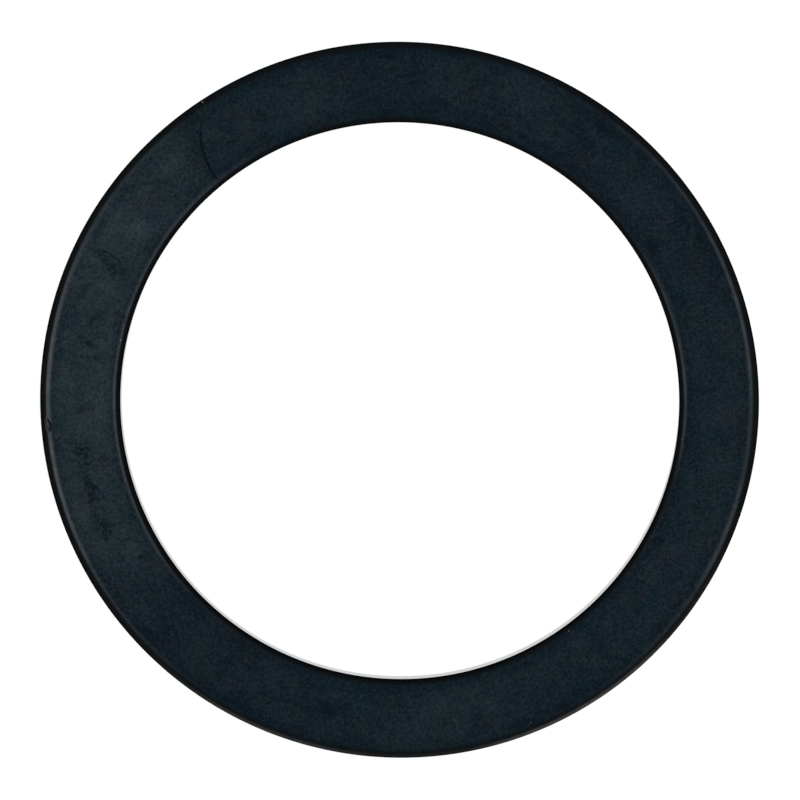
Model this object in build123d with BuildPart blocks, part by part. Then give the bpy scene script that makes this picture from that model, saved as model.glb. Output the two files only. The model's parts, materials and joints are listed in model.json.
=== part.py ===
"""Flat rubber sealing ring for the group head of an espresso machine.

The ring lies in the annular groove of the group. Its bore slips round the screen holder, its outer
wall fits the groove, one face seats on the bottom of the groove and the other is the face that the
rim of the portafilter is pressed against. It is one moulding, the same either way up: a square
section with all four edges rounded, the outer two more than the two at the bore. One small almond
shaped nick is pressed into the rounded outer edge of the sealing face.

Frame: millimetres, +Z up along the axis of the bore, origin at the centre of the seating face.
"""

from build123d import *
from math import cos, radians, sin, sqrt
import os

# Driving dimensions of the ring
bore_diameter = 57.0
ring_width = 8.0
thickness = 8.0
outer_edge_radius = 1.05
bore_edge_radius = 0.75

# The nick: where it is, how far its far end is turned in from the run of the edge, and its length,
# width and depth at the surface
nick_azimuth = 184.3
nick_lean = 19.0
nick_turn = 9.0
nick_length = 1.35
nick_width = 0.54
nick_depth = 0.17

bore_radius = bore_diameter / 2
outer_radius = bore_radius + ring_width


def arc_radius(chord, rise):
    """Radius of the circle whose arc has this chord and this rise."""
    return (chord**2 / 4 + rise**2) / (2 * rise)


# The cutter of the nick is an arc turned about a line that runs nearly along the edge, just clear of
# the surface. Its waist gives the nick its width and depth, and its flatter lengthwise arc its length.
waist_radius = arc_radius(nick_width, nick_depth)
lengthwise_radius = arc_radius(nick_length, nick_depth)
half_span = sqrt(waist_radius * (2 * lengthwise_radius - waist_radius))

# The point of the rounded outer edge where the surface leans outwards by nick_lean, and the line
# above it about which the cutter is turned.
lean = radians(nick_lean)
standoff = outer_edge_radius + waist_radius - nick_depth
nick_axis_radius = outer_radius - outer_edge_radius + standoff * sin(lean)
nick_axis_height = thickness - outer_edge_radius + standoff * cos(lean)

azimuth = radians(nick_azimuth)
turn = radians(nick_turn)
outwards = Vector(cos(azimuth), sin(azimuth), 0)
along_edge = Vector(-sin(azimuth), cos(azimuth), 0)
across_edge = outwards * cos(lean) - Vector(0, 0, sin(lean))
nick_plane = Plane(
    origin=outwards * nick_axis_radius + Vector(0, 0, nick_axis_height),
    x_dir=along_edge * cos(turn) - across_edge * sin(turn),
    z_dir=across_edge * cos(turn) + along_edge * sin(turn),
)

with BuildPart() as gasket_ring:
    # Section on the +X side of the axis, with its four edges rounded
    with BuildSketch(Plane.XZ) as section:
        with Locations((bore_radius, 0)):
            Rectangle(ring_width, thickness, align=(Align.MIN, Align.MIN))
        fillet(section.vertices().group_by(Axis.X)[0], bore_edge_radius)
        fillet(section.vertices().group_by(Axis.X)[-1], outer_edge_radius)
    revolve(axis=Axis.Z)

    # Nick in the outer edge of the sealing face
    with BuildSketch(nick_plane) as nick_section:
        with BuildLine():
            waist = ThreePointArc((-half_span, 0), (0, -waist_radius), (half_span, 0))
            Line(waist @ 1, waist @ 0)
        make_face()
    revolve(axis=Axis(nick_plane.origin, nick_plane.x_dir), mode=Mode.SUBTRACT)

gasket_ring.part.label = "gasket_ring"

os.makedirs("parts", exist_ok=True)
export_step(gasket_ring.part, "parts/gasket_ring.step")
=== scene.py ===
"""Portafilter gasket: a flat rubber sealing ring, lying on a pale floor with its sealing face up.

The ring is spun from its rounded section, laid very slightly oval as a free rubber ring lies, and
then marked: a nick in its outer edge and two fine creases in its face. One procedural rubber finish
dresses it. Lengths are metres, angles are degrees, and an azimuth runs from +X towards +Y.
"""

import json
import logging
import math
from collections.abc import Callable
from dataclasses import dataclass
from enum import Enum

import bpy
from mathutils import Matrix, Vector


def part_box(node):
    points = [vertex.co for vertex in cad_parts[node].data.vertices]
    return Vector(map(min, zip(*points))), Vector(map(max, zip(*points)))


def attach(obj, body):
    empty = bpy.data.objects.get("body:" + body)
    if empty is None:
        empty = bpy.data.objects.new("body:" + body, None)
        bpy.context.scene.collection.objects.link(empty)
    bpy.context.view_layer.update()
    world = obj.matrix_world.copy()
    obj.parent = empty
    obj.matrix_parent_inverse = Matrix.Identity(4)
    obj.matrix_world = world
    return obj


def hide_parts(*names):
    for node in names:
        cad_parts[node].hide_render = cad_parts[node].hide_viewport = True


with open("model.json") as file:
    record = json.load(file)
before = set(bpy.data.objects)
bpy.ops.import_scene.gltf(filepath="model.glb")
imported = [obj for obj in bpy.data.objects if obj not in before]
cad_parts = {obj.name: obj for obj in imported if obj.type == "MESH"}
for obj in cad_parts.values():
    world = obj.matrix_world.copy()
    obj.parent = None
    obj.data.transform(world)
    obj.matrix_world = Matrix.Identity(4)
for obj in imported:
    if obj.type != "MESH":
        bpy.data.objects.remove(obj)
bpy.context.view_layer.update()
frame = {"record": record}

LOG = logging.getLogger("gasket")
MM = 0.001
HOLLOW = "hollow"
Socket = bpy.types.NodeSocket


def polar(azimuth: float, radius: float, height: float = 0.0) -> Vector:
    """Works out the point at an azimuth and a radius round the ring's axis.

    Args:
        azimuth: Angle from +X towards +Y, in degrees.
        radius: Distance from the axis.
        height: Height above the floor.

    Returns:
        The point in the ring's frame.
    """
    turn = math.radians(azimuth)
    return Vector((radius * math.cos(turn), radius * math.sin(turn), height))


def mount(name: str) -> dict:
    """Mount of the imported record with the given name."""
    return next(m for m in frame["record"]["mounts"] if m["name"] == name)


def deselect_all() -> None:
    """Leaves no object selected, so that the next operator acts on what it adds."""
    bpy.ops.object.select_all(action="DESELECT")


def clear_selection(mesh: bpy.types.Mesh) -> None:
    """Leaves no vertex, edge or face of a mesh selected."""
    for elements in (mesh.vertices, mesh.edges, mesh.polygons):
        elements.foreach_set("select", [False] * len(elements))


def select_faces(piece: bpy.types.Object, wanted: Callable[[Vector], bool]) -> None:
    """Selects the faces of a piece by the place of their centres.

    Args:
        piece: Mesh object, in object mode.
        wanted: Says whether a face with this centre is selected.
    """
    clear_selection(piece.data)
    faces = piece.data.polygons
    faces.foreach_set("select", [wanted(face.center) for face in faces])


def refine(piece: bpy.types.Object, wanted: Callable[[Vector], bool], cuts: int) -> None:
    """Subdivides part of a piece.

    Args:
        piece: Mesh object, active and in object mode.
        wanted: Says whether a face with this centre is subdivided.
        cuts: How many times each of its edges is cut.
    """
    select_faces(piece, wanted)
    bpy.ops.object.mode_set(mode="EDIT")
    bpy.ops.mesh.select_mode(type="FACE")
    bpy.ops.mesh.subdivide(number_cuts=cuts, quadcorner="INNERVERT")
    bpy.ops.object.mode_set(mode="OBJECT")


def push(
    piece: bpy.types.Object,
    name: str,
    share: Callable[[Vector], float],
    distance: float,
    direction: str = "NORMAL",
) -> None:
    """Pushes part of a piece outwards, or inwards by a negative distance.

    Args:
        piece: Mesh object, active and in object mode.
        name: Name of the vertex group that holds the shape of the push.
        share: Gives the share of the full distance at a point, from 0 to 1.
        distance: Greatest distance.
        direction: Along the normals, or along one axis.
    """
    group = piece.vertex_groups.new(name=name)
    for vertex in piece.data.vertices:
        weight = share(vertex.co)
        if weight > 0.0:
            group.add([vertex.index], weight, "REPLACE")
    shift = piece.modifiers.new(name, "DISPLACE")
    shift.vertex_group = name
    shift.direction = direction
    shift.mid_level = 0.0
    shift.strength = distance
    bpy.ops.object.modifier_apply(modifier=shift.name)
    piece.vertex_groups.remove(piece.vertex_groups[name])


def dull(piece: bpy.types.Object, share: Callable[[Vector], float]) -> None:
    """Marks where the piece is bare and dull, for its finish to read.

    Args:
        piece: Mesh object, in object mode.
        share: Gives how bare a point is, from 0 to 1.
    """
    layer = piece.data.attributes.get(HOLLOW) or piece.data.attributes.new(HOLLOW, "FLOAT", "POINT")
    for value, vertex in zip(layer.data, piece.data.vertices):
        value.value = max(value.value, share(vertex.co))


@dataclass
class NodeBench:
    """Node tree of one material, with a short call for each kind of node that the finishes use."""

    tree: bpy.types.NodeTree

    @classmethod
    def of(cls, owner: bpy.types.Material | bpy.types.World) -> "NodeBench":
        """Empties the node tree of a material or a world and gives it a bench.

        Args:
            owner: The material or the world.

        Returns:
            The bench.
        """
        owner.use_nodes = True
        owner.node_tree.nodes.clear()
        return cls(owner.node_tree)

    def put(self, kind: str, **settings: object) -> bpy.types.Node:
        """Adds a node.

        Args:
            kind: Type name of the node.
            **settings: Properties set on it.

        Returns:
            The new node.
        """
        node = self.tree.nodes.new(kind)
        for name, value in settings.items():
            setattr(node, name, value)
        return node

    def feed(self, target: Socket, value: float | tuple | Socket) -> None:
        """Links a socket to an input, or writes a plain value on it.

        Args:
            target: The input.
            value: Socket or plain value that it gets.
        """
        if isinstance(value, bpy.types.NodeSocket):
            self.tree.links.new(value, target)
        else:
            target.default_value = value

    def math(self, operation: str, *values: float | Socket) -> Socket:
        """Works out a number.

        Args:
            operation: Name of the operation, such as MULTIPLY.
            *values: Its operands.

        Returns:
            The result.
        """
        node = self.put("ShaderNodeMath", operation=operation)
        for target, value in zip(node.inputs, values):
            self.feed(target, value)
        return node.outputs["Value"]

    def rise(self, value: Socket, start: float, end: float, low: float = 0.0, high: float = 1.0) -> Socket:
        """Turns a number into a smooth step.

        Args:
            value: The number.
            start: Where the step leaves low.
            end: Where the step reaches high.
            low: Result before the step.
            high: Result past the step.

        Returns:
            The result.
        """
        node = self.put("ShaderNodeMapRange", interpolation_type="SMOOTHSTEP")
        for name, number in zip(("From Min", "From Max", "To Min", "To Max"), (start, end, low, high)):
            node.inputs[name].default_value = number
        self.feed(node.inputs["Value"], value)
        return node.outputs["Result"]

    def vector(self, operation: str, *values: tuple | Socket) -> Socket:
        """Works out a vector.

        Args:
            operation: Name of the operation, such as ADD.
            *values: Its operands.

        Returns:
            The result.
        """
        node = self.put("ShaderNodeVectorMath", operation=operation)
        for target, value in zip(node.inputs, values):
            self.feed(target, value)
        return node.outputs["Vector"]

    def radius(self, place: Socket) -> Socket:
        """Works out the distance from the ring's axis.

        Args:
            place: Coordinates.

        Returns:
            The distance, whatever the height.
        """
        length = self.put("ShaderNodeVectorMath", operation="LENGTH")
        self.feed(length.inputs[0], self.vector("MULTIPLY", place, (1.0, 1.0, 0.0)))
        return length.outputs["Value"]

    def oval(self, place: Socket, centre: Vector, turn: float, width: float, length: float) -> Socket:
        """Draws a soft oval.

        Args:
            place: Coordinates.
            centre: Its middle.
            turn: Angle that its width is turned by, from +X towards +Y.
            width: Its width.
            length: Its length, square to the width.

        Returns:
            The oval, 1 in its middle and 0 from its outline on.
        """
        inside = self.put("ShaderNodeMapping", vector_type="TEXTURE")
        inside.inputs["Location"].default_value = centre
        inside.inputs["Rotation"].default_value[2] = math.radians(turn)
        inside.inputs["Scale"].default_value = (width / 2, length / 2, 1.0)
        self.feed(inside.inputs["Vector"], place)
        fall = self.put("ShaderNodeTexGradient", gradient_type="SPHERICAL")
        self.feed(fall.inputs["Vector"], inside.outputs["Vector"])
        return fall.outputs["Fac"]

    def mix(self, share: float | Socket, first: tuple | Socket, second: tuple | Socket) -> Socket:
        """Mixes two colours, or goes past them where the share is below 0 or above 1.

        Args:
            share: Share of the second colour.
            first: First colour.
            second: Second colour.

        Returns:
            The mixed colour.
        """
        node = self.put("ShaderNodeMix", data_type="RGBA", clamp_factor=False)
        colours = [socket for socket in node.inputs if socket.type == "RGBA"]
        self.feed(node.inputs["Factor"], share)
        self.feed(colours[0], first)
        self.feed(colours[1], second)
        return next(socket for socket in node.outputs if socket.type == "RGBA")


@dataclass(frozen=True)
class Fade:
    """Smooth change from one level to another along some measure."""

    start: float
    end: float
    low: float = 0.0
    high: float = 1.0

    def along(self, bench: NodeBench, measure: Socket) -> Socket:
        """Level of the fade at each value of the measure."""
        return bench.rise(measure, self.start, self.end, self.low, self.high)


@dataclass(frozen=True)
class Arc:
    """Stretch of the ring between two azimuths, with soft ends and a level of its own."""

    start: float
    end: float
    blur: float
    level: float = 1.0

    def mask(self, bench: NodeBench, place: Socket) -> Socket:
        """Masks the stretch.

        Args:
            bench: Its node tree.
            place: Coordinates.

        Returns:
            The mask, 1 inside the stretch.
        """
        turn = bench.put("ShaderNodeMapping", vector_type="TEXTURE")
        turn.inputs["Rotation"].default_value[2] = math.radians((self.start + self.end) / 2)
        bench.feed(turn.inputs["Vector"], place)
        parts = bench.put("ShaderNodeSeparateXYZ")
        bench.feed(parts.inputs["Vector"], turn.outputs["Vector"])
        angle = bench.math("ARCTAN2", parts.outputs["Y"], parts.outputs["X"])
        half = math.radians((self.end - self.start) / 2)
        soft = math.radians(self.blur) / 2
        return bench.rise(bench.math("ABSOLUTE", angle), half + soft, half - soft)


@dataclass(frozen=True)
class Clouds:
    """Cloudy noise: the size of its largest clouds, its finer octaves and their strength."""

    size: float
    detail: float
    roughness: float = 0.5

    def node(self, bench: NodeBench, place: Socket) -> bpy.types.Node:
        """Adds the noise's node.

        Args:
            bench: Its node tree.
            place: Coordinates.

        Returns:
            The node.
        """
        node = bench.put("ShaderNodeTexNoise")
        bench.feed(node.inputs["Vector"], place)
        node.inputs["Scale"].default_value = 1.0 / self.size
        node.inputs["Detail"].default_value = self.detail
        node.inputs["Roughness"].default_value = self.roughness
        return node

    def level(self, bench: NodeBench, place: Socket) -> Socket:
        """One noise, about 0.5."""
        return self.node(bench, place).outputs["Fac"]

    def colour(self, bench: NodeBench, place: Socket) -> Socket:
        """Three noises, one in each channel, about 0.5."""
        return self.node(bench, place).outputs["Color"]


class Wear(Enum):
    """What a mark of the face is made of, and by its sign whether it adds bloom or takes it off."""

    CLOUD = 1.0
    SMUDGE = -1.0
    SPECKLE = -2.0


MARK_GAIN = 1.25
MARK_FADE = Fade(0.0, 0.75)
DUST_FADE = Fade(0.0, 0.6)


@dataclass(frozen=True)
class Patch:
    """Soft oval mark of the face, its radius, length and width in millimetres.

    Its length runs round the ring and its width across it, before it is turned.
    """

    wear: Wear
    azimuth: float
    radius: float
    length: float
    width: float
    turn: float
    strength: float

    def share(self, bench: NodeBench, place: Socket, speckle: Socket) -> Socket:
        """Works out how much the mark adds to the bloom, or takes from it.

        Args:
            bench: Its node tree.
            place: Coordinates, bent a little so that no outline is a clean oval.
            speckle: Fine grain that breaks up a speckled mark.

        Returns:
            The change.
        """
        centre = polar(self.azimuth, self.radius * MM)
        oval = bench.oval(place, centre, self.azimuth + self.turn, self.width * MM, self.length * MM)
        mark = MARK_FADE.along(bench, oval)
        if self.wear is Wear.SPECKLE:
            mark = bench.math("MULTIPLY", mark, speckle)
        return bench.math("MULTIPLY", mark, math.copysign(MARK_GAIN * self.strength, self.wear.value))


@dataclass(frozen=True)
class Speck:
    """Grain of pale dust, its radius and size in millimetres."""

    azimuth: float
    radius: float
    size: float
    strength: float

    def share(self, bench: NodeBench, place: Socket) -> Socket:
        """Works out how much of the surface the grain hides.

        Args:
            bench: Its node tree.
            place: Coordinates.

        Returns:
            The share.
        """
        size = self.size * MM
        grain = bench.oval(place, polar(self.azimuth, self.radius * MM), 0.0, size, size)
        return bench.math("MULTIPLY", DUST_FADE.along(bench, grain), self.strength)


FACE_MARKS = (
    Patch(Wear.SMUDGE, 19.6, 30.3, 1.8, 1.5, 0.0, 0.20),
    Patch(Wear.SMUDGE, 31.5, 30.2, 2.8, 1.6, 0.0, 0.20),
    Patch(Wear.SMUDGE, 31.0, 34.0, 2.4, 0.9, -25.0, 0.15),
    Patch(Wear.CLOUD, 33.3, 32.8, 0.5, 1.8, -20.0, 0.20),
    Patch(Wear.SMUDGE, 32.7, 33.1, 0.6, 1.8, -11.7, 0.34),
    Patch(Wear.SMUDGE, 28.8, 34.8, 2.0, 1.0, 0.0, 0.17),
    Patch(Wear.SMUDGE, 34.5, 34.7, 3.2, 1.0, 0.0, 0.15),
    Patch(Wear.SMUDGE, 45.5, 34.9, 4.5, 1.4, 0.0, 0.13),
    Patch(Wear.SMUDGE, 51.5, 34.7, 4.6, 1.8, 0.0, 0.20),
    Patch(Wear.SMUDGE, 54.5, 32.4, 5.0, 1.6, 0.0, 0.08),
    Patch(Wear.SMUDGE, 60.5, 32.6, 3.6, 0.7, -30.0, 0.10),
    Patch(Wear.SMUDGE, 65.0, 30.9, 4.6, 1.1, -20.0, 0.10),
    Patch(Wear.CLOUD, 78.5, 31.3, 0.4, 1.6, -30.0, 0.14),
    Patch(Wear.SMUDGE, 82.0, 30.7, 3.2, 1.6, 0.0, 0.11),
    Patch(Wear.SMUDGE, 87.6, 33.7, 1.7, 3.4, 0.0, 0.14),
    Patch(Wear.SMUDGE, 92.5, 35.0, 4.0, 0.9, 0.0, 0.16),
    Patch(Wear.SPECKLE, 116.5, 32.6, 3.0, 3.8, 15.0, 0.16),
    Patch(Wear.CLOUD, 119.2, 32.0, 1.6, 1.4, 0.0, 0.14),
    Patch(Wear.CLOUD, 134.5, 33.4, 4.4, 2.6, -20.0, 0.22),
    Patch(Wear.SMUDGE, 137.8, 32.4, 1.4, 3.4, 30.0, 0.16),
    Patch(Wear.CLOUD, 141.5, 33.2, 3.0, 2.4, 25.0, 0.08),
    Patch(Wear.CLOUD, 147.3, 31.4, 5.2, 4.0, 0.0, 0.22),
    Patch(Wear.CLOUD, 150.0, 34.2, 3.2, 2.2, 0.0, 0.12),
    Patch(Wear.SMUDGE, 150.5, 32.2, 1.8, 1.6, 0.0, 0.14),
    Patch(Wear.SMUDGE, 154.9, 32.6, 1.8, 8.6, -14.7, 0.25),
    Patch(Wear.SMUDGE, 156.3, 33.1, 1.1, 4.0, 5.8, 0.22),
    Patch(Wear.CLOUD, 158.5, 31.6, 2.2, 2.8, 15.0, 0.14),
    Patch(Wear.SMUDGE, 161.5, 34.1, 3.0, 0.9, -35.0, 0.24),
    Patch(Wear.SMUDGE, 165.5, 32.2, 4.6, 0.9, -38.0, 0.15),
    Patch(Wear.SMUDGE, 168.9, 32.7, 0.9, 2.4, -50.5, 0.18),
    Patch(Wear.SMUDGE, 170.1, 32.1, 1.0, 1.2, 0.0, 0.30),
    Patch(Wear.CLOUD, 169.3, 30.8, 1.8, 2.0, 0.0, 0.14),
    Patch(Wear.CLOUD, 169.0, 34.0, 3.2, 2.2, 0.0, 0.12),
    Patch(Wear.SMUDGE, 172.3, 31.4, 1.0, 3.8, 0.0, 0.22),
    Patch(Wear.CLOUD, 176.5, 33.8, 3.6, 2.2, 0.0, 0.14),
    Patch(Wear.SMUDGE, 181.3, 32.0, 1.3, 3.8, 10.0, 0.20),
    Patch(Wear.SPECKLE, 190.6, 32.9, 5.2, 3.0, 0.0, 0.50),
    Patch(Wear.SPECKLE, 196.8, 32.6, 4.6, 1.9, 0.0, 1.00),
    Patch(Wear.SMUDGE, 196.0, 32.7, 3.4, 1.2, 0.0, 0.22),
    Patch(Wear.SPECKLE, 203.6, 32.9, 4.2, 1.7, 0.0, 0.75),
    Patch(Wear.CLOUD, 198.5, 34.6, 6.0, 1.5, 0.0, 0.14),
    Patch(Wear.CLOUD, 201.0, 31.1, 7.4, 1.6, 0.0, 0.10),
    Patch(Wear.CLOUD, 209.5, 31.4, 2.6, 2.2, 0.0, 0.16),
    Patch(Wear.SMUDGE, 211.7, 30.6, 0.8, 2.0, 0.0, 0.20),
    Patch(Wear.SPECKLE, 226.0, 33.6, 3.4, 1.8, 0.0, 0.24),
    Patch(Wear.SMUDGE, 222.5, 34.9, 4.5, 1.2, 0.0, 0.08),
    Patch(Wear.CLOUD, 241.5, 32.4, 5.0, 2.6, -20.0, 0.07),
    Patch(Wear.SMUDGE, 251.0, 32.6, 5.0, 1.8, 0.0, 0.11),
    Patch(Wear.SMUDGE, 257.5, 32.2, 5.6, 2.8, 0.0, 0.17),
    Patch(Wear.SMUDGE, 254.0, 30.4, 5.0, 1.2, 0.0, 0.09),
    Patch(Wear.CLOUD, 265.0, 34.0, 4.6, 2.0, 0.0, 0.07),
    Patch(Wear.CLOUD, 276.5, 31.6, 3.6, 3.4, 0.0, 0.07),
    Patch(Wear.CLOUD, 280.2, 33.6, 0.5, 4.2, 0.0, 0.18),
    Patch(Wear.SMUDGE, 284.2, 33.4, 3.2, 4.0, 0.0, 0.13),
    Patch(Wear.SMUDGE, 295.5, 30.1, 3.6, 1.0, 0.0, 0.10),
    Patch(Wear.SPECKLE, 331.0, 30.3, 2.8, 1.2, 0.0, 0.34),
    Patch(Wear.SMUDGE, 331.0, 30.2, 2.6, 1.0, 0.0, 0.08),
    Patch(Wear.SPECKLE, 347.5, 30.8, 2.8, 1.8, 0.0, 0.34),
    Patch(Wear.SMUDGE, 340.5, 32.2, 1.8, 1.6, 0.0, 0.08),
)

DUST = (
    Speck(123.5, 36.33, 0.20, 0.60),
    Speck(167.9, 28.99, 0.18, 0.42),
    Speck(178.6, 30.30, 0.14, 0.14),
    Speck(292.1, 35.49, 0.15, 0.16),
    Speck(306.2, 29.14, 0.15, 0.40),
    Speck(352.2, 29.00, 0.20, 0.10),
)


@dataclass(frozen=True)
class Rubber:
    """Black rubber: bare on its walls and rounded edges, with a blue grey bloom on the two faces.

    A fade that ends in `facing` runs by how flat the surface lies, 1 on the faces and 0 on the walls.
    The thin bloom's red is below zero, and `deep` cuts it off. The gloss is faint all over and stronger
    on arcs of the crown, the highest part of each rounded edge, and of the brow, the steep part of the
    outer one below it. There the gloss reflects the white room as well as the lamps, so these arcs are
    painted highlights and glints.
    """

    name: str = "rubber"
    bare: tuple = (0.0026, 0.0047, 0.0062, 1.0)
    thin_bloom: tuple = (-0.0004, 0.0056, 0.0106, 1.0)
    thick_bloom: tuple = (0.0213, 0.0338, 0.0405, 1.0)
    deep: tuple = (0.0012, 0.0048, 0.0085)
    dust: tuple = (0.40, 0.42, 0.42, 1.0)
    body_roughness: float = 0.9
    skin_roughness: float = 0.28

    skin_facing: Fade = Fade(0.45, 0.90, 0.01, 0.10)
    wall_facing: Fade = Fade(0.15, 0.45, 0.02, 1.0)
    crown_facing: Fade = Fade(0.85, 0.955)
    brow_top_facing: Fade = Fade(0.84, 0.70)
    brow_foot_facing: Fade = Fade(0.25, 0.50)
    outer_crown: Fade = Fade(35.36 * MM, 35.72 * MM)
    bore_crown: Fade = Fade(29.40 * MM, 29.15 * MM)
    # Painted highlights and glints: arcs where the gloss of the crowns and the brow is raised.
    outer_highlight_arcs: tuple[Arc, ...] = (
        Arc(130.0, 236.0, 30.0, 0.13),
        Arc(162.0, 205.0, 26.0, 0.46),
        Arc(312.0, 406.0, 24.0, 0.11),
        Arc(330.0, 345.0, 10.0, 0.17),
        Arc(2.0, 30.0, 10.0, 0.13),
    )
    bore_highlight_arcs: tuple[Arc, ...] = (
        Arc(124.0, 216.0, 18.0, 0.28),
        Arc(350.0, 388.0, 20.0, 0.22),
        Arc(350.0, 372.0, 10.0, 0.12),
    )
    brow_glint_arcs: tuple[Arc, ...] = (
        Arc(228.0, 332.0, 16.0, 0.085),
        Arc(235.0, 262.0, 12.0, 0.17),
        Arc(286.0, 315.0, 12.0, 0.36),
    )
    gloss_clouds: Clouds = Clouds(1.5 * MM, 5.0, 0.7)
    gloss_patches: Fade = Fade(0.2, 0.8, 0.7, 1.3)
    hollow_gloss: Fade = Fade(0.0, 0.25, 1.0, 0.05)

    bloom_facing: Fade = Fade(0.87, 1.01)
    bloom_at_bore: Fade = Fade(29.3 * MM, 30.7 * MM, 0.45, 1.0)
    left_bloom_and_light_at_bore: Fade = Fade(29.2 * MM, 29.8 * MM, 0.0, 0.65)
    bloom_at_rim: Fade = Fade(34.2 * MM, 35.3 * MM, 1.0, 0.50)
    # Thicker bloom on the left arc: partly real bloom, partly painted light of the near left lamp.
    left_arcs: tuple[Arc, ...] = (Arc(131.0, 250.0, 6.0), Arc(90.0, 215.0, 16.0))
    base_share: float = 0.228
    left_share: float = 0.375
    clouds: Clouds = Clouds(11 * MM, 7.0, 0.72)
    cloud_depth: float = 0.95
    left_cloud_depth: float = 0.95
    fine: Clouds = Clouds(0.30 * MM, 3.0, 0.95)
    fine_depth: float = 2.2
    left_fine_depth: float = 0.9
    speckle: Clouds = Clouds(0.34 * MM, 3.0, 0.7)
    speckle_spots: Fade = Fade(0.46, 0.60)
    broken: Clouds = Clouds(1.1 * MM, 6.0, 0.8)
    broken_marks: Fade = Fade(0.3, 0.7, 0.3, 1.7)
    bend: Clouds = Clouds(2.2 * MM, 4.0, 0.65)
    bend_reach: float = 2.6 * MM
    tint: Clouds = Clouds(2.5 * MM, 4.0, 0.75)
    tint_depth: tuple = (0.0140, 0.0050, 0.0095)
    grain: Clouds = Clouds(0.22 * MM, 2.0)
    grain_height: float = 0.002 * MM

    def material(self) -> bpy.types.Material:
        """Makes the material of the finish.

        Returns:
            The material.
        """
        material = bpy.data.materials.new(self.name)
        bench = NodeBench.of(material)
        coordinates = bench.put("ShaderNodeTexCoord")
        place = coordinates.outputs["Object"]
        facing, upper = self.facing(bench, coordinates.outputs["Normal"])
        shader = bench.put("ShaderNodeBsdfPrincipled")
        shader.inputs["Roughness"].default_value = self.body_roughness
        shader.inputs["Specular IOR Level"].default_value = 0.0
        shader.inputs["Coat Roughness"].default_value = self.skin_roughness
        bench.feed(shader.inputs["Base Color"], self.colour(bench, place, facing, upper))
        bench.feed(shader.inputs["Coat Weight"], self.skin(bench, place, facing))
        grain = bench.put("ShaderNodeBump")
        grain.inputs["Distance"].default_value = self.grain_height
        bench.feed(grain.inputs["Height"], self.grain.level(bench, place))
        bench.feed(shader.inputs["Normal"], grain.outputs["Normal"])
        bench.feed(shader.inputs["Coat Normal"], grain.outputs["Normal"])
        output = bench.put("ShaderNodeOutputMaterial")
        bench.feed(output.inputs["Surface"], shader.outputs["BSDF"])
        return material

    def facing(self, bench: NodeBench, normal: Socket) -> tuple[Socket, Socket]:
        """Works out how the surface lies.

        Args:
            bench: Its node tree.
            normal: Normal of the surface.

        Returns:
            How flat it lies, 1 on the two faces and 0 on the walls, and whether it faces up.
        """
        parts = bench.put("ShaderNodeSeparateXYZ")
        bench.feed(parts.inputs["Vector"], normal)
        up = parts.outputs["Z"]
        return bench.math("ABSOLUTE", up), bench.math("GREATER_THAN", up, 0.0)

    def colour(self, bench: NodeBench, place: Socket, facing: Socket, upper: Socket) -> Socket:
        """Colours bare rubber, the bloom on both faces, and the marks and the dust of the upper one.

        Args:
            bench: Its node tree.
            place: Coordinates.
            facing: How flat the surface lies.
            upper: Whether it faces up.

        Returns:
            The colour.
        """
        bloom = bench.mix(self.bloom_share(bench, place, upper), self.thin_bloom, self.thick_bloom)
        bloom = self.tinted(bench, place, bloom)
        body = bench.mix(self.bloom_facing.along(bench, facing), self.bare, bloom)
        # Toward bare rubber where the nick and the creases are marked; in the creases this darkening is
        # partly painted shade.
        body = bench.mix(self.hollow(bench), body, self.bare)
        dust: float | Socket = 0.0
        for speck in DUST:
            dust = bench.math("ADD", speck.share(bench, place), dust)
        return bench.mix(bench.math("MULTIPLY", upper, dust), body, self.dust)

    def hollow(self, bench: NodeBench) -> Socket:
        """How bare and dull the surface is in the nick and the creases, from 0 to 1; in the creases it
        also paints shade.
        """
        return bench.put("ShaderNodeAttribute", attribute_name=HOLLOW).outputs["Fac"]

    def bloom_share(self, bench: NodeBench, place: Socket, upper: Socket) -> Socket:
        """Works out how thick the bloom lies: cloudy, and on top marked and thick on the left, partly as
        painted light.

        Args:
            bench: Its node tree.
            place: Coordinates.
            upper: Whether the surface faces up.

        Returns:
            The share of thick bloom, which the clouds and the marks take past 0 and 1.
        """
        bent = self.bent(bench, place)
        radius = bench.radius(place)
        left = upper
        for arc in self.left_arcs:
            left = bench.math("MULTIPLY", arc.mask(bench, bent), left)
        rim = self.bloom_at_rim.along(bench, radius)
        share = bench.math("MULTIPLY", rim, self.base_share)
        # The left arc's extra share is partly painted light of the near left lamp.
        share = bench.math("MULTIPLY_ADD", left, self.left_share, share)
        clouds = bench.math("SUBTRACT", self.clouds.level(bench, place), 0.5)
        depth = bench.math("MULTIPLY_ADD", left, self.left_cloud_depth, self.cloud_depth)
        share = bench.math("MULTIPLY_ADD", clouds, depth, share)
        share = bench.math("MULTIPLY", share, self.share_at_bore(bench, radius, left))
        marks = bench.math("MULTIPLY", self.marks(bench, bent, place), upper)
        broken = self.broken_marks.along(bench, self.broken.level(bench, place))
        share = bench.math("MULTIPLY_ADD", marks, broken, share)
        grain = bench.math("SUBTRACT", self.fine.level(bench, place), 0.5)
        depth = bench.math("MULTIPLY_ADD", left, self.left_fine_depth, self.fine_depth)
        return bench.math("MULTIPLY_ADD", grain, depth, share)

    def share_at_bore(self, bench: NodeBench, radius: Socket, left: Socket) -> Socket:
        """Works out how the bloom thins at the bore, where on the left, with its painted light, it reaches
        nearer to the edge.

        Args:
            bench: Its node tree.
            radius: Distance from the axis.
            left: Mask of the left arc.

        Returns:
            What is left of the bloom.
        """
        inner = self.bloom_at_bore.along(bench, radius)
        filled = bench.math("MULTIPLY", left, self.left_bloom_and_light_at_bore.along(bench, radius))
        return bench.math("MULTIPLY_ADD", bench.math("SUBTRACT", 1.0, inner), filled, inner)

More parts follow.
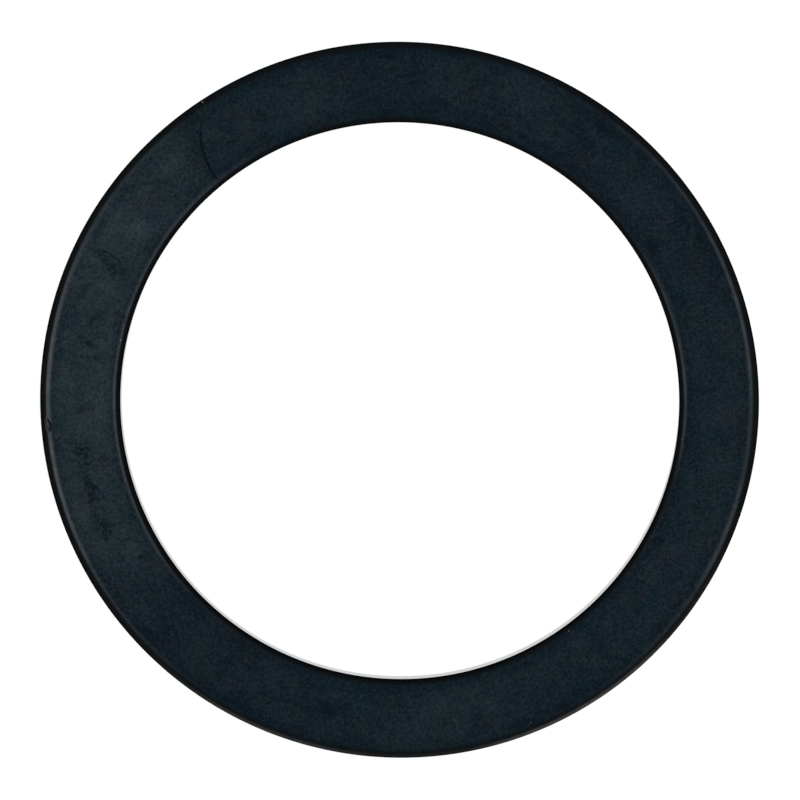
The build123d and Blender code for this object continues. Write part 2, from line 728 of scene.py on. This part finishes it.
    def marks(self, bench: NodeBench, bent: Socket, place: Socket) -> Socket:
        """Adds up the marks of the face.

        Args:
            bench: Its node tree.
            bent: Coordinates that are moved about a little.
            place: Coordinates.

        Returns:
            What they add to the bloom, or take from it.
        """
        speckle = self.speckle_spots.along(bench, self.speckle.level(bench, place))
        marks: float | Socket = 0.0
        for patch in FACE_MARKS:
            marks = bench.math("ADD", patch.share(bench, bent, speckle), marks)
        return marks

    def bent(self, bench: NodeBench, place: Socket) -> Socket:
        """Moves coordinates about by a cloudy noise.

        Args:
            bench: Its node tree.
            place: Coordinates.

        Returns:
            The moved coordinates.
        """
        reach = (self.bend_reach, self.bend_reach, 0.0)
        back = (-self.bend_reach / 2, -self.bend_reach / 2, 0.0)
        shift = bench.vector("MULTIPLY_ADD", self.bend.colour(bench, place), reach, back)
        return bench.vector("ADD", place, shift)

    def tinted(self, bench: NodeBench, place: Socket, colour: Socket) -> Socket:
        """Tints a colour in blotches a little more teal or more violet, and never below the deepest.

        Args:
            bench: Its node tree.
            place: Coordinates.
            colour: The colour.

        Returns:
            The tinted colour.
        """
        back = tuple(-depth / 2 for depth in self.tint_depth)
        shift = bench.vector("MULTIPLY_ADD", self.tint.colour(bench, place), self.tint_depth, back)
        return bench.vector("MAXIMUM", bench.vector("ADD", colour, shift), self.deep)

    def skin(self, bench: NodeBench, place: Socket, facing: Socket) -> Socket:
        """Works out the weight of the skin gloss: faint on the faces, more on the arcs that paint
        highlights and glints.

        Args:
            bench: Its node tree.
            place: Coordinates.
            facing: How flat the surface lies.

        Returns:
            The weight.
        """
        radius = bench.radius(place)
        crown = self.crown_facing.along(bench, facing)
        brow_top = self.brow_top_facing.along(bench, facing)
        brow = bench.math("MULTIPLY", brow_top, self.brow_foot_facing.along(bench, facing))
        outer = self.outer_crown.along(bench, radius)
        bore = self.bore_crown.along(bench, radius)
        weight = self.skin_facing.along(bench, facing)
        # Gloss raised on these arcs paints highlights on the crowns and glints on the brow.
        for band, edge, arcs in (
            (crown, outer, self.outer_highlight_arcs),
            (crown, bore, self.bore_highlight_arcs),
            (brow, outer, self.brow_glint_arcs),
        ):
            on_edge = bench.math("MULTIPLY", band, edge)
            for arc in arcs:
                highlight_gloss = bench.math("MULTIPLY", on_edge, arc.mask(bench, place))
                weight = bench.math("MULTIPLY_ADD", highlight_gloss, arc.level, weight)
        for factor in (
            self.gloss_patches.along(bench, self.gloss_clouds.level(bench, place)),
            self.wall_facing.along(bench, facing),
            self.hollow_gloss.along(bench, self.hollow(bench)),
        ):
            weight = bench.math("MULTIPLY", weight, factor)
        return weight


@dataclass
class Nick:
    """Small almond shaped nick, pressed into the rounded outer edge."""

    azimuth: float = 184.17
    lean: float = 19.0
    turn: float = -9.0
    length: float = 1.68 * MM
    width: float = 0.48 * MM
    depth: float = 0.14 * MM
    shoulder_length: float = 2.1 * MM
    shoulder_width: float = 0.90 * MM
    shoulder_depth: float = 0.05 * MM
    cuts: int = 11
    reach: float = 1.3 * MM
    bare: float = 0.10
    bare_spread: float = 2.5

    def press_into(self, piece: bpy.types.Object, edge_centre: Vector, edge_radius: float) -> None:
        """Refines the edge about the nick and presses it in.

        Args:
            piece: The ring.
            edge_centre: Centre of the rounding at the nick's azimuth.
            edge_radius: Radius of the rounding.
        """
        lean = math.radians(self.lean)
        turn = math.radians(self.turn)
        outwards = polar(self.azimuth, 1.0)
        normal = outwards * math.sin(lean) + Vector((0, 0, math.cos(lean)))
        centre = edge_centre + normal * edge_radius
        across = outwards * math.cos(lean) - Vector((0, 0, math.sin(lean)))
        along = normal.cross(across)
        long_axis = along * math.cos(turn) + across * math.sin(turn)
        short_axis = across * math.cos(turn) - along * math.sin(turn)

        def fall(point: Vector, length: float, width: float) -> float:
            """Works out how deep an almond shaped hollow is at a point.

            Args:
                point: The point.
                length: Length of the hollow.
                width: Its width.

            Returns:
                The share of its depth.
            """
            offset = point - centre
            u = offset.dot(long_axis) / (length / 2)
            v = offset.dot(short_axis) / (width / 2)
            if abs(u) > 1.0 or offset.length > length:
                return 0.0
            return max(0.0, (1.0 - u * u) ** 2 - v * v)

        def shoulder(point: Vector) -> float:
            """Share of the shoulder's depth at a point."""
            return fall(point, self.shoulder_length, self.shoulder_width)

        refine(piece, lambda point: (point - centre).length < self.reach, self.cuts)
        dull(piece, lambda point: self.bare * min(1.0, self.bare_spread * shoulder(point)))
        push(piece, "shoulder", shoulder, -self.shoulder_depth)
        push(piece, "nick", lambda point: fall(point, self.length, self.width), -self.depth)


@dataclass
class Crease:
    """Fine crease in the face, an arc through three points, each an azimuth and a radius."""

    name: str
    start: tuple[float, float]
    middle: tuple[float, float]
    end: tuple[float, float]
    width: float
    depth: float
    bare: float
    bare_spread: float = 2.0
    reach: float = 0.45 * MM
    overrun: float = 1.1
    face_share: float = 0.9
    cuts: int = 15

    def centre_and_radius(self) -> tuple[Vector, float]:
        """Works out the arc through the three points.

        Returns:
            Its centre and its radius, in the plane of the face.
        """
        a, b, c = (polar(azimuth, radius) for azimuth, radius in (self.start, self.middle, self.end))
        ab, ac = b - a, c - a
        cross = 2 * (ab.x * ac.y - ab.y * ac.x)
        x = (ac.y * ab.length_squared - ab.y * ac.length_squared) / cross
        y = (ab.x * ac.length_squared - ac.x * ab.length_squared) / cross
        centre = a + Vector((x, y, 0))
        return centre, (a - centre).length

    def press_into(self, piece: bpy.types.Object, height: float) -> None:
        """Refines the face along the crease and presses it in.

        Args:
            piece: The ring.
            height: Height of the face.
        """
        centre, radius = self.centre_and_radius()
        middle = polar(*self.middle)
        half_length = max((polar(*tip) - middle).length for tip in (self.start, self.end))

        def distance(point: Vector) -> float:
            """Measures how far a point of the face is from the crease.

            Args:
                point: The point.

            Returns:
                The distance in the plane of the face, or infinity off the face or past its ends.
            """
            flat = Vector((point.x, point.y, 0))
            if point.z < height * self.face_share or (flat - middle).length > half_length * self.overrun:
                return math.inf
            return abs((flat - centre).length - radius)

        def share(point: Vector) -> float:
            """Works out how deep the crease is at a point, less towards its ends.

            Args:
                point: The point.

            Returns:
                The share of its depth.
            """
            off = distance(point) / (self.width / 2)
            if off >= 1.0:
                return 0.0
            along = (Vector((point.x, point.y, 0)) - middle).length / half_length
            return (1.0 - off) * max(0.0, 1.0 - along**4)

        refine(piece, lambda point: distance(point) < self.reach, self.cuts)
        # The crease's darker bare rubber is partly painted shade.
        dull(piece, lambda point: self.bare * min(1.0, self.bare_spread * share(point)))
        push(piece, self.name, share, -self.depth)


# Each crease's bare share darkens it: partly bare rubber, partly painted shade.
CREASES = (
    Crease(
        name="crease",
        start=(126.5, 34.05 * MM),
        middle=(128.5, 32.00 * MM),
        end=(129.6, 28.95 * MM),
        width=0.36 * MM,
        depth=0.05 * MM,
        bare=0.44,
    ),
    Crease(
        name="faint",
        start=(153.25, 33.90 * MM),
        middle=(153.32, 32.79 * MM),
        end=(153.76, 31.47 * MM),
        width=0.28 * MM,
        depth=0.03 * MM,
        bare=0.31,
    ),
)


@dataclass
class GasketRing:
    """The rubber ring, spun from its section."""

    bore_radius: float
    outer_radius: float
    thickness: float
    bore_edge_radius: float
    outer_edge_radius: float
    swell: float = 0.03 * MM
    out_of_round: float = 0.114 * MM
    long_axis: float = -25.6
    bore_shift: tuple = (0.023 * MM, -0.142 * MM)
    steps: int = 512
    edge_segments: int = 14
    face_cuts: int = 9
    wall_cuts: int = 5
    shortest_straight: float = 2 * MM
    straight_slack: float = 0.001 * MM
    shift_margin: float = 0.3 * MM
    smooth_angle: float = 40.0

    @classmethod
    def from_frame(cls) -> "GasketRing":
        """Takes the ring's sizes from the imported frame.

        Returns:
            The ring, not yet built.
        """
        low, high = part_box("gasket_ring")
        thickness = high.z - low.z
        bore, wall = mount("bore")["dims"], mount("outer_wall")["dims"]
        return cls(
            bore_radius=bore["r_mm"] * MM,
            outer_radius=wall["r_mm"] * MM,
            thickness=thickness,
            bore_edge_radius=(thickness - bore["length_mm"] * MM) / 2,
            outer_edge_radius=(thickness - wall["length_mm"] * MM) / 2,
        )

    def draw_section(self) -> bpy.types.Object:
        """Draws the outline of the section on the +X side, with its four edges rounded.

        Returns:
            The object that holds the outline.
        """
        deselect_all()
        width = self.outer_radius - self.bore_radius + 2 * self.swell
        middle = (self.outer_radius + self.bore_radius) / 2
        bpy.ops.mesh.primitive_plane_add(
            size=1.0, location=(middle, 0, self.thickness / 2), rotation=(math.pi / 2, 0, 0)
        )
        section = bpy.context.object
        section.name = "gasket"
        section.scale = (width, self.thickness, 1.0)
        bpy.ops.object.transform_apply()
        self.round_corners(section, lambda x: x < middle, self.bore_edge_radius)
        self.round_corners(section, lambda x: x > middle, self.outer_edge_radius)
        bpy.ops.object.mode_set(mode="EDIT")
        bpy.ops.mesh.select_all(action="SELECT")
        bpy.ops.mesh.delete(type="ONLY_FACE")
        bpy.ops.object.mode_set(mode="OBJECT")
        self.cut_straights(section)
        return section

    def round_corners(
        self, section: bpy.types.Object, wanted: Callable[[float], bool], radius: float
    ) -> None:
        """Rounds the corners of the section that lie at some radii.

        Args:
            section: The section's object.
            wanted: Says whether a corner at this radius is rounded.
            radius: Radius of the rounding.
        """
        clear_selection(section.data)
        corners = section.data.vertices
        corners.foreach_set("select", [wanted(corner.co.x) for corner in corners])
        bpy.ops.object.mode_set(mode="EDIT")
        bpy.ops.mesh.select_mode(type="VERT")
        bpy.ops.mesh.bevel(
            affect="VERTICES", offset=radius, offset_type="OFFSET", segments=self.edge_segments
        )
        bpy.ops.object.mode_set(mode="OBJECT")

    def cut_straights(self, section: bpy.types.Object) -> None:
        """Divides the straight stretches of the section: the faces finely, the walls less.

        Args:
            section: The section's object.
        """
        for axis, cuts in ((2, self.face_cuts), (0, self.wall_cuts)):
            mesh = section.data
            clear_selection(mesh)
            for edge in mesh.edges:
                first, second = (mesh.vertices[index].co for index in edge.vertices)
                straight = abs(first[axis] - second[axis]) < self.straight_slack
                edge.select = straight and (first - second).length > self.shortest_straight
            bpy.ops.object.mode_set(mode="EDIT")
            bpy.ops.mesh.select_mode(type="EDGE")
            bpy.ops.mesh.subdivide(number_cuts=cuts)
            bpy.ops.object.mode_set(mode="OBJECT")

    def spin(self, section: bpy.types.Object) -> None:
        """Spins the outline once round the axis and closes it.

        Args:
            section: The section's object, which becomes the ring.
        """
        bpy.ops.object.mode_set(mode="EDIT")
        bpy.ops.mesh.select_all(action="SELECT")
        bpy.ops.mesh.spin(
            steps=self.steps, angle=2 * math.pi, center=(0, 0, 0), axis=(0, 0, 1), use_auto_merge=True
        )
        bpy.ops.mesh.select_all(action="SELECT")
        bpy.ops.mesh.normals_make_consistent(inside=False)
        bpy.ops.object.mode_set(mode="OBJECT")

    def lay(self, ring: bpy.types.Object) -> None:
        """Lays the ring slightly oval, as a free rubber ring lies, its bore a little off centre.

        Args:
            ring: The ring.
        """
        stretch = self.out_of_round / self.outer_radius
        ring.scale = (1.0 + stretch, 1.0 - stretch, 1.0)
        bpy.ops.object.transform_apply()
        ring.rotation_euler.z = math.radians(self.long_axis)
        bpy.ops.object.transform_apply()
        start = self.bore_radius + self.bore_edge_radius + self.shift_margin
        end = self.outer_radius - self.outer_edge_radius - self.shift_margin

        def share(point: Vector) -> float:
            """Full share at the bore's edge and none at the outer one."""
            return min(1.0, max(0.0, (end - math.hypot(point.x, point.y)) / (end - start)))

        for axis, distance in zip("XY", self.bore_shift):
            push(ring, "bore", share, distance, axis)

    def mark(self, ring: bpy.types.Object) -> None:
        """Presses the nick and the creases into the ring.

        Args:
            ring: The ring.
        """
        nick = Nick()
        edge_radius = self.outer_radius - self.outer_edge_radius
        edge_centre = polar(nick.azimuth, edge_radius, self.thickness - self.outer_edge_radius)
        nick.press_into(ring, edge_centre, self.outer_edge_radius)
        for crease in CREASES:
            crease.press_into(ring, self.thickness)

    def build(self) -> bpy.types.Object:
        """Builds and dresses the ring.

        Returns:
            The ring's object.
        """
        ring = self.draw_section()
        self.spin(ring)
        self.lay(ring)
        self.mark(ring)
        bpy.ops.object.shade_smooth_by_angle(angle=math.radians(self.smooth_angle))
        ring.data.materials.append(Rubber().material())
        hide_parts("gasket_ring")
        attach(ring, "root")
        return ring


@dataclass(frozen=True)
class Softbox:
    """Rectangular lamp that faces the ring, `round` long about the axis and `steep` long up and down."""

    name: str
    azimuth: float
    off_vertical: float
    distance: float
    steep: float
    round: float
    radiance: float
    in_gloss: bool

    def place(self, target: Vector) -> None:
        """Hangs the lamp and turns it to the target.

        Args:
            target: The point that it faces.
        """
        tilt = math.radians(self.off_vertical)
        away = polar(self.azimuth, math.sin(tilt), math.cos(tilt))
        deselect_all()
        bpy.ops.object.light_add(type="AREA", location=target + away * self.distance)
        lamp = bpy.context.object
        lamp.name = self.name
        lamp.rotation_mode = "QUATERNION"
        lamp.rotation_quaternion = away.to_track_quat("Z", "Y")
        lamp.data.shape = "RECTANGLE"
        lamp.data.size = self.round
        lamp.data.size_y = self.steep
        lamp.data.energy = self.radiance * math.pi * self.round * self.steep
        lamp.visible_camera = False
        lamp.visible_glossy = self.in_gloss


LAMPS = (
    Softbox("left", 181.0, 34.0, 0.48, 0.29, 0.42, 1.45, True),
    Softbox("left_low", 159.0, 52.0, 0.50, 0.12, 0.20, 0.6, True),
    Softbox("right", 26.0, 34.5, 0.24, 0.14, 0.155, 1.7, True),
    Softbox("right_low", 337.0, 36.0, 0.70, 0.46, 0.46, 1.3, True),
    Softbox("overhead", 0.0, 0.0, 1.2, 1.20, 1.20, 1.6, False),
)


@dataclass
class Studio:
    """Pale floor, soft lamps and the camera that looks down on the ring.

    To the camera, to reflections and through clear stuff the floor and the room are white. As light
    the room is dim, with bright panels low down.
    """

    target: Vector
    bore_radius: float
    outer_radius: float
    floor_size: float = 12.0
    floor_gap: float = 0.02 * MM
    footing: float = 1.2 * MM
    floor_colour: tuple = (0.8, 0.8, 0.8, 1.0)
    white_share: float = 0.75
    white_level: float = 1.22
    shade_level: float = 0.74
    shade_centre: tuple = (0.087 * MM, 0.195 * MM)
    shade_radius: float = 28.47 * MM
    shade_blur: float = 0.06 * MM
    shade_reach: float = 1 * MM
    shade_fade: float = 1 * MM
    backdrop: float = 1.0
    ambient: float = 0.05
    low_room: Fade = Fade(0.39, 0.11)
    low_dark: float = 0.05
    low_lights: tuple[Arc, ...] = (
        Arc(228.0, 335.0, 20.0, 0.20),
        Arc(237.0, 251.0, 10.0, 3.6),
        Arc(288.5, 310.5, 10.0, 3.3),
    )
    camera_distance: float = 2.16
    camera_tilt: float = 0.41
    camera_azimuth: float = 90.0
    view_width: float = 81.41 * MM
    view_offset: Vector = Vector((0.046 * MM, -0.015 * MM, 0))
    sensor: float = 36.0

    def lay_floor(self) -> None:
        """Lays the floor: near white, with the ring's shadow."""
        deselect_all()
        bpy.ops.mesh.primitive_plane_add(size=self.floor_size, location=(0, 0, -self.floor_gap))
        floor = bpy.context.object
        floor.name = "floor"
        material = bpy.data.materials.new("pale_floor")
        bench = NodeBench.of(material)
        place = bench.put("ShaderNodeTexCoord").outputs["Object"]
        seen = self.seen(bench)
        paint = bench.put("ShaderNodeBsdfDiffuse")
        paint.inputs["Color"].default_value = self.floor_colour
        white = bench.put("ShaderNodeEmission")
        bench.feed(white.inputs["Strength"], self.white(bench, place))
        clear = bench.put("ShaderNodeBsdfTransparent")
        surface = paint.outputs["BSDF"]
        for share, over in (
            (bench.math("MULTIPLY", seen, self.white_share), white.outputs["Emission"]),
            (self.open_below(bench, place), clear.outputs["BSDF"]),
        ):
            mixed = bench.put("ShaderNodeMixShader")
            for target, value in zip(mixed.inputs, (share, surface, over)):
                bench.feed(target, value)
            surface = mixed.outputs["Shader"]
        output = bench.put("ShaderNodeOutputMaterial")
        bench.feed(output.inputs["Surface"], surface)
        material.cycles.emission_sampling = "NONE"
        floor.data.materials.append(material)

    def open_below(self, bench: NodeBench, place: Socket) -> Socket:
        """Masks where the floor is clear: from beneath, and under the ring, to show the underside.

        Args:
            bench: Its node tree.
            place: Coordinates.

        Returns:
            The mask, 1 where the floor is clear.
        """
        radius = bench.radius(place)
        past_bore = bench.math("GREATER_THAN", radius, self.bore_radius + self.footing)
        within = bench.math("LESS_THAN", radius, self.outer_radius - self.footing)
        covered = bench.math("MULTIPLY", past_bore, within)
        return bench.math("MAXIMUM", covered, bench.put("ShaderNodeNewGeometry").outputs["Backfacing"])

    def white(self, bench: NodeBench, place: Socket) -> Socket:
        """Works out the white of the floor, less in the thin shade painted at the foot of the bore.

        Args:
            bench: Its node tree.
            place: Coordinates.

        Returns:
            The strength of the white.
        """
        away = bench.radius(bench.vector("SUBTRACT", place, (*self.shade_centre, 0.0)))
        half_blur = self.shade_blur / 2
        foot = bench.rise(away, self.shade_radius - half_blur, self.shade_radius + half_blur)
        end = self.bore_radius + self.shade_reach
        shade = bench.math("MULTIPLY", foot, bench.rise(bench.radius(place), end + self.shade_fade, end))
        return bench.math("MULTIPLY_ADD", shade, self.shade_level - self.white_level, self.white_level)

    def seen(self, bench: NodeBench) -> Socket:
        """Works out whether something looks at a surface, and not only takes light from it.

        Args:
            bench: Its node tree.

        Returns:
            1 to the camera, in a reflection and through clear stuff.
        """
        path = bench.put("ShaderNodeLightPath")
        seen = bench.math("MAXIMUM", path.outputs["Is Camera Ray"], path.outputs["Is Transmission Ray"])
        return bench.math("MAXIMUM", seen, path.outputs["Is Glossy Ray"])

    def light_room(self) -> None:
        """Sets the world: white to look at, and as light dim overhead and by direction low down."""
        world = bpy.data.worlds.new("room")
        bench = NodeBench.of(world)
        towards = bench.put("ShaderNodeTexCoord").outputs["Generated"]
        parts = bench.put("ShaderNodeSeparateXYZ")
        bench.feed(parts.inputs["Vector"], towards)
        low: float | Socket = self.low_dark
        for light in self.low_lights:
            low = bench.math("MULTIPLY_ADD", light.mask(bench, towards), light.level, low)
        low_down = self.low_room.along(bench, parts.outputs["Z"])
        level = bench.math("MULTIPLY_ADD", low_down, low, self.ambient)
        seen = self.seen(bench)
        level = bench.math("MULTIPLY", level, bench.math("SUBTRACT", 1.0, seen))
        background = bench.put("ShaderNodeBackground")
        bench.feed(background.inputs["Strength"], bench.math("MULTIPLY_ADD", seen, self.backdrop, level))
        output = bench.put("ShaderNodeOutputWorld")
        bench.feed(output.inputs["Surface"], background.outputs["Background"])
        bpy.context.scene.world = world

    def hang_lamps(self) -> None:
        """Hangs the softboxes to the left, to the right and overhead."""
        for lamp in LAMPS:
            lamp.place(self.target)

    def set_camera(self) -> None:
        """Places the camera high above the ring, tilted a little from the near side."""
        tilt = math.radians(self.camera_tilt)
        back = polar(self.camera_azimuth, math.sin(tilt), math.cos(tilt))
        right = Vector((0, 1, 0)).cross(back).normalized()
        up = back.cross(right)
        aim = self.target + self.view_offset
        bpy.ops.object.camera_add(location=aim + back * self.camera_distance)
        camera = bpy.context.object
        camera.rotation_mode = "QUATERNION"
        camera.rotation_quaternion = Matrix((right, up, back)).transposed().to_quaternion()
        camera.data.sensor_width = self.sensor
        camera.data.lens = self.sensor * self.camera_distance / self.view_width
        camera.data.clip_end = 2 * self.camera_distance
        bpy.context.scene.camera = camera

    def build(self) -> None:
        """Builds the studio."""
        self.lay_floor()
        self.light_room()
        self.hang_lamps()
        self.set_camera()
        bpy.context.scene.view_settings.view_transform = "Standard"


def main() -> None:
    """Builds the ring and the studio."""
    logging.basicConfig(level=logging.INFO, format="%(name)s: %(message)s")
    ring = GasketRing.from_frame()
    piece = ring.build()
    LOG.info("%s has %d faces", piece.name, len(piece.data.polygons))
    Studio(Vector((0, 0, ring.thickness)), ring.bore_radius, ring.outer_radius).build()


if __name__ == "__main__":
    main()
